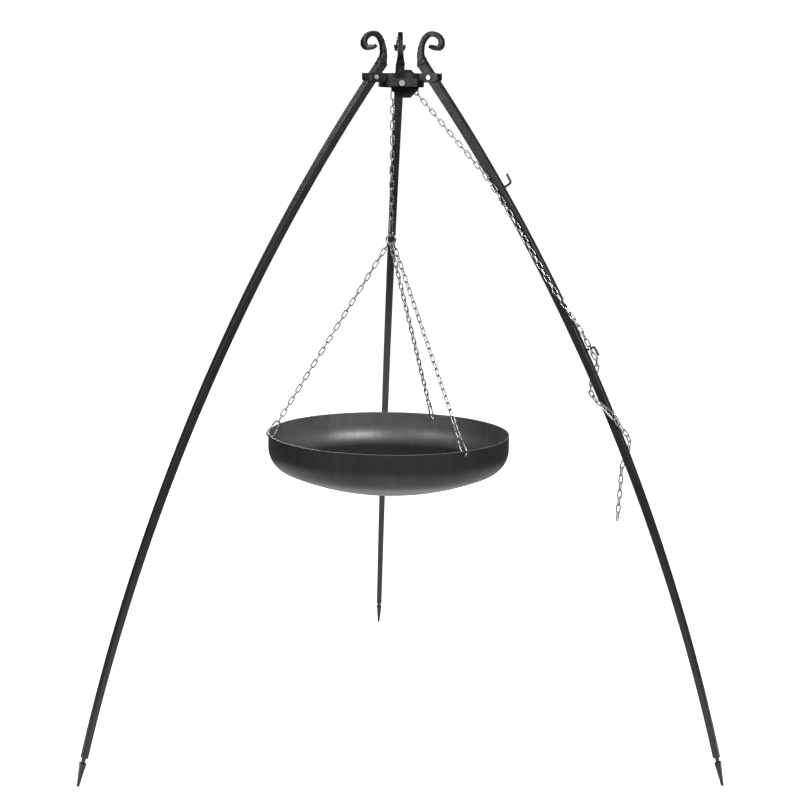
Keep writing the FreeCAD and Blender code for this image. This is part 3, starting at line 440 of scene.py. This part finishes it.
def forged(node, voxel, hammer):
    """A CAD node with rounded arrises and shallow hammer marks, grown by a quarter of a voxel
    to make up for the rounding."""
    work = bpy.data.objects.new(f"{node}_work", NODES[node].data.copy())
    SCENE.collection.objects.link(work)
    remesh = work.modifiers.new("remesh", "REMESH")
    remesh.mode = "VOXEL"
    remesh.voxel_size = voxel
    bpy.context.view_layer.update()
    remeshed = work.evaluated_get(bpy.context.evaluated_depsgraph_get())
    mesh = bpy.data.meshes.new_from_object(remeshed)
    bpy.data.objects.remove(work)
    bm = bmesh.new()
    bm.from_mesh(mesh)
    for _ in range(3):
        bmesh.ops.smooth_vert(bm, verts=bm.verts, factor=0.5, use_axis_x=True, use_axis_y=True,
                              use_axis_z=True)
    bm.normal_update()
    moves = []
    for vert in bm.verts:
        broad = noise.noise(vert.co * BROAD_DENTS)
        facet = noise.noise(vert.co * FINE_DENTS + Vector((7, 3, 5)))
        moves.append(vert.normal * (hammer * (0.75 * broad + 0.4 * facet) + 0.25 * voxel))
    for vert, move in zip(bm.verts, moves):
        vert.co += move
    bm.to_mesh(mesh)
    bm.free()
    mesh.name = f"{node}_forged"
    mesh.polygons.foreach_set("use_smooth", [True] * len(mesh.polygons))
    mesh.materials.clear()
    mesh.materials.append(MATERIALS[SLOT_OF[node]])
    piece = bpy.data.objects.new(f"{node}_forged", mesh)
    SCENE.collection.objects.link(piece)
    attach(piece, BODY_OF[node])
    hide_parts(node)


for leg in LEGS:
    forged(f"leg_{leg}_scroll", voxel=0.0011, hammer=0.0006)
    forged(f"leg_{leg}_foot", voxel=0.0009, hammer=0.0004)


# ---------------------------------------------------------------- welds
BEAD_STEP = 0.0005
RIPPLE_LENGTH = 0.0021
LUMPS = 240
SCROLL_BEAD = 0.0011
CLEVIS_BEAD = 0.0016
HOOK_BEAD = 0.0012


def weld_bead(name, corners, radius, body, slot):
    """A rippled bead: straight between two corners, or a loop through more of them, which
    are rounded off."""
    corners = [Vector(c) for c in corners]
    closed = len(corners) > 2
    ends = corners[1:] + corners[:1] if closed else corners[1:]
    path = []
    for here, there in zip(corners, ends):
        steps = max(2, round((there - here).length / BEAD_STEP))
        path += [here.lerp(there, i / steps) for i in range(steps)]
    if closed:
        normal = (corners[1] - corners[0]).cross(corners[2] - corners[1])
        for _ in range(6):
            path = [(path[i - 1] + p + path[(i + 1) % len(path)]) / 3 for i, p in enumerate(path)]
    else:
        normal = (corners[1] - corners[0]).orthogonal()
        path.append(corners[-1])
    radii = []
    for i, p in enumerate(path):
        ripple = 0.10 * math.sin(2 * math.pi * i * BEAD_STEP / RIPPLE_LENGTH)
        radii.append(radius * (1 + ripple + 0.22 * noise.noise(p * LUMPS)))
    points, faces = tube(path, radii, normal, closed, 8)
    piece = mesh_object(name, points, faces, slot)
    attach(piece, body)


def leg_spot(azimuth, out, side, up):
    """A place in a leg's own directions: away from the tripod's axis, sideways, and up."""
    angle = math.radians(azimuth)
    ahead = Vector((math.cos(angle), math.sin(angle), 0))
    beside = Vector((-math.sin(angle), math.cos(angle), 0))
    return TRIPOD_AXIS + ahead * out + beside * side + Vector((0, 0, up))


# the outer and the inner end of each scroll's mitre, as distance out and height
FRONT_MITRE = ((0.07058, 1.6559), (0.0471, 1.6503))
REAR_MITRE = ((0.0663, 1.6614), (0.0428, 1.6558))
HALF_TOP = 0.0105
EAR_SIDE = 0.0155
WEB_OUT = 0.0551
EAR_LOW, EAR_HIGH = 1.613, 1.632
for leg, azimuth in LEGS.items():
    (outer, outer_up), (inner, inner_up) = REAR_MITRE if leg == "rear" else FRONT_MITRE
    joint = [leg_spot(azimuth, outer, HALF_TOP, outer_up),
             leg_spot(azimuth, outer, -HALF_TOP, outer_up),
             leg_spot(azimuth, inner, -HALF_TOP, inner_up),
             leg_spot(azimuth, inner, HALF_TOP, inner_up)]
    weld_bead(f"leg_{leg}_scroll_weld", joint, SCROLL_BEAD, f"{leg}_leg", "forged_paint")
    for side, hand in ((-1, "left"), (1, "right")):
        ends = [leg_spot(azimuth, WEB_OUT, side * EAR_SIDE, up) for up in (EAR_LOW, EAR_HIGH)]
        weld_bead(f"clevis_{leg}_weld_{hand}", ends, CLEVIS_BEAD, "crown", "crown_paint")


HOOK_ROOT = 0.004
HOOK_SHANK = 0.012
HOOK_BEAD_UP = 0.0016
HOOK_BEAD_RADIUS = 0.0031


def hook_root(name):
    """The bead round the root of a rod hook, at its end that meets the leg."""
    points = np.array([v.co for v in NODES[name].data.vertices])
    outwards = np.array(leg_spot(LEGS["right"], 1, 0, 0) - TRIPOD_AXIS)
    reach = (points - np.array(TRIPOD_AXIS)) @ outwards
    root = points[reach < reach.min() + HOOK_ROOT]
    middle = root.mean(axis=0)
    axis = np.linalg.svd(points[reach < reach.min() + HOOK_SHANK] - middle)[2][0]
    axis *= np.sign(axis @ outwards)
    across = np.cross(axis, (0, 0, 1))
    across /= np.linalg.norm(across)
    up = np.cross(across, axis)
    base = middle + axis * (((root - middle) @ axis).min() + HOOK_BEAD_UP)
    turns = [math.radians(30 * i) for i in range(12)]
    corners = [base + HOOK_BEAD_RADIUS * (across * math.cos(a) + up * math.sin(a)) for a in turns]
    weld_bead(f"{name}_weld", corners, HOOK_BEAD, "right_leg", "forged_paint")


for rod_hook in ("chain_hook_upper", "chain_hook_lower"):
    hook_root(rod_hook)


# ---------------------------------------------------------------- stage
NEAR_GLOW, FAR_GLOW = 0.68, 0.95
NEAR_RADIUS = 1.5
WORLD_GLOW = 0.13
SWEEP_RADIUS = 4.0
SWEEP_FROM = 9.0
SWEEP = [(SWEEP_FROM + SWEEP_RADIUS * math.sin(a), SWEEP_RADIUS * (1 - math.cos(a)))
         for a in [math.radians(d) for d in range(8, 91, 8)]]
BACKDROP_TOP = 9.0


def floor_paper():
    """Pale paper that glows a little more further out, so that it fades to white."""
    g = Graph("floor_paper")
    g.set(Base_Color=g.ramp(g.noise(3.0, 3.0, 0.5), [(0.3, grey(0.84)), (0.7, grey(0.87))]))
    g.shader.inputs["Roughness"].default_value = 0.9
    g.shader.inputs["Emission Color"].default_value = (1.0, 1.0, 1.0, 1.0)
    x, y, _ = g.split(g.coord)
    g.set(Emission_Strength=g.spread(g.distance(x, y), 1.0, 5.0, NEAR_GLOW, FAR_GLOW))
    return g.material


def make_floor(name, profile, paper, mirrored):
    """A surface turned about the Z axis. Only a mirrored one shows in the metal."""
    sides = 96
    turns = [2 * math.pi * i / sides for i in range(sides)]
    bm = bmesh.new()
    rings = []
    for radius, height in profile:
        spots = [(radius * math.cos(a), radius * math.sin(a), height) for a in turns]
        rings.append([bm.verts.new(spot) for spot in (spots if radius else spots[:1])])
    for low, high in zip(rings, rings[1:]):
        for i in range(sides):
            k = (i + 1) % sides
            lower = [low[0]] if len(low) == 1 else [low[k], low[i]]
            bm.faces.new([high[i], high[k], *lower])
    mesh = bpy.data.meshes.new(name)
    bm.to_mesh(mesh)
    bm.free()
    mesh.polygons.foreach_set("use_smooth", [True] * len(mesh.polygons))
    mesh.materials.append(paper)
    floor = bpy.data.objects.new(name, mesh)
    SCENE.collection.objects.link(floor)
    floor.visible_glossy = mirrored
    floor.visible_diffuse = False


def area_light(name, place, aim, size, power, mirrored=True):
    """A soft box. One that isn't mirrored lights the metal and doesn't show in it."""
    data = bpy.data.lights.new(name, "AREA")
    data.shape = "RECTANGLE"
    data.size, data.size_y = size
    data.energy = power
    light = bpy.data.objects.new(name, data)
    light.location = place
    light.rotation_euler = (Vector(aim) - Vector(place)).to_track_quat("-Z", "Y").to_euler()
    light.visible_glossy = mirrored
    SCENE.collection.objects.link(light)


def make_world():
    world = bpy.data.worlds.new("studio")
    world.use_nodes = True
    back = world.node_tree.nodes["Background"]
    back.inputs[0].default_value = (1.0, 1.0, 1.0, 1.0)
    back.inputs[1].default_value = WORLD_GLOW
    SCENE.world = world


paper = floor_paper()
backdrop = SWEEP_FROM + SWEEP_RADIUS
make_floor("floor_near", [(0.0, 0.0), (NEAR_RADIUS, 0.0)], paper, True)
make_floor("floor_far", [(NEAR_RADIUS, 0.0), (6.0, 0.0), (SWEEP_FROM, 0.0), *SWEEP,
                         (backdrop, SWEEP_RADIUS), (backdrop, BACKDROP_TOP)], paper, False)
make_world()
area_light("key", (2.0, -3.4, 3.4), (0.0, -0.2, 1.2), (1.4, 1.4), 165.0)
area_light("fill", (-3.4, -2.6, 2.6), (0.0, -0.2, 0.8), (1.4, 2.2), 56.0)
area_light("top", (0.0, -0.9, 4.2), (0.0, -0.1, 0.0), (2.4, 2.4), 20.0, mirrored=False)
area_light("back", (-1.2, 3.8, 2.6), (0.0, 0.0, 0.9), (2.4, 1.6), 70.0)
SCENE.view_settings.view_transform = "Standard"
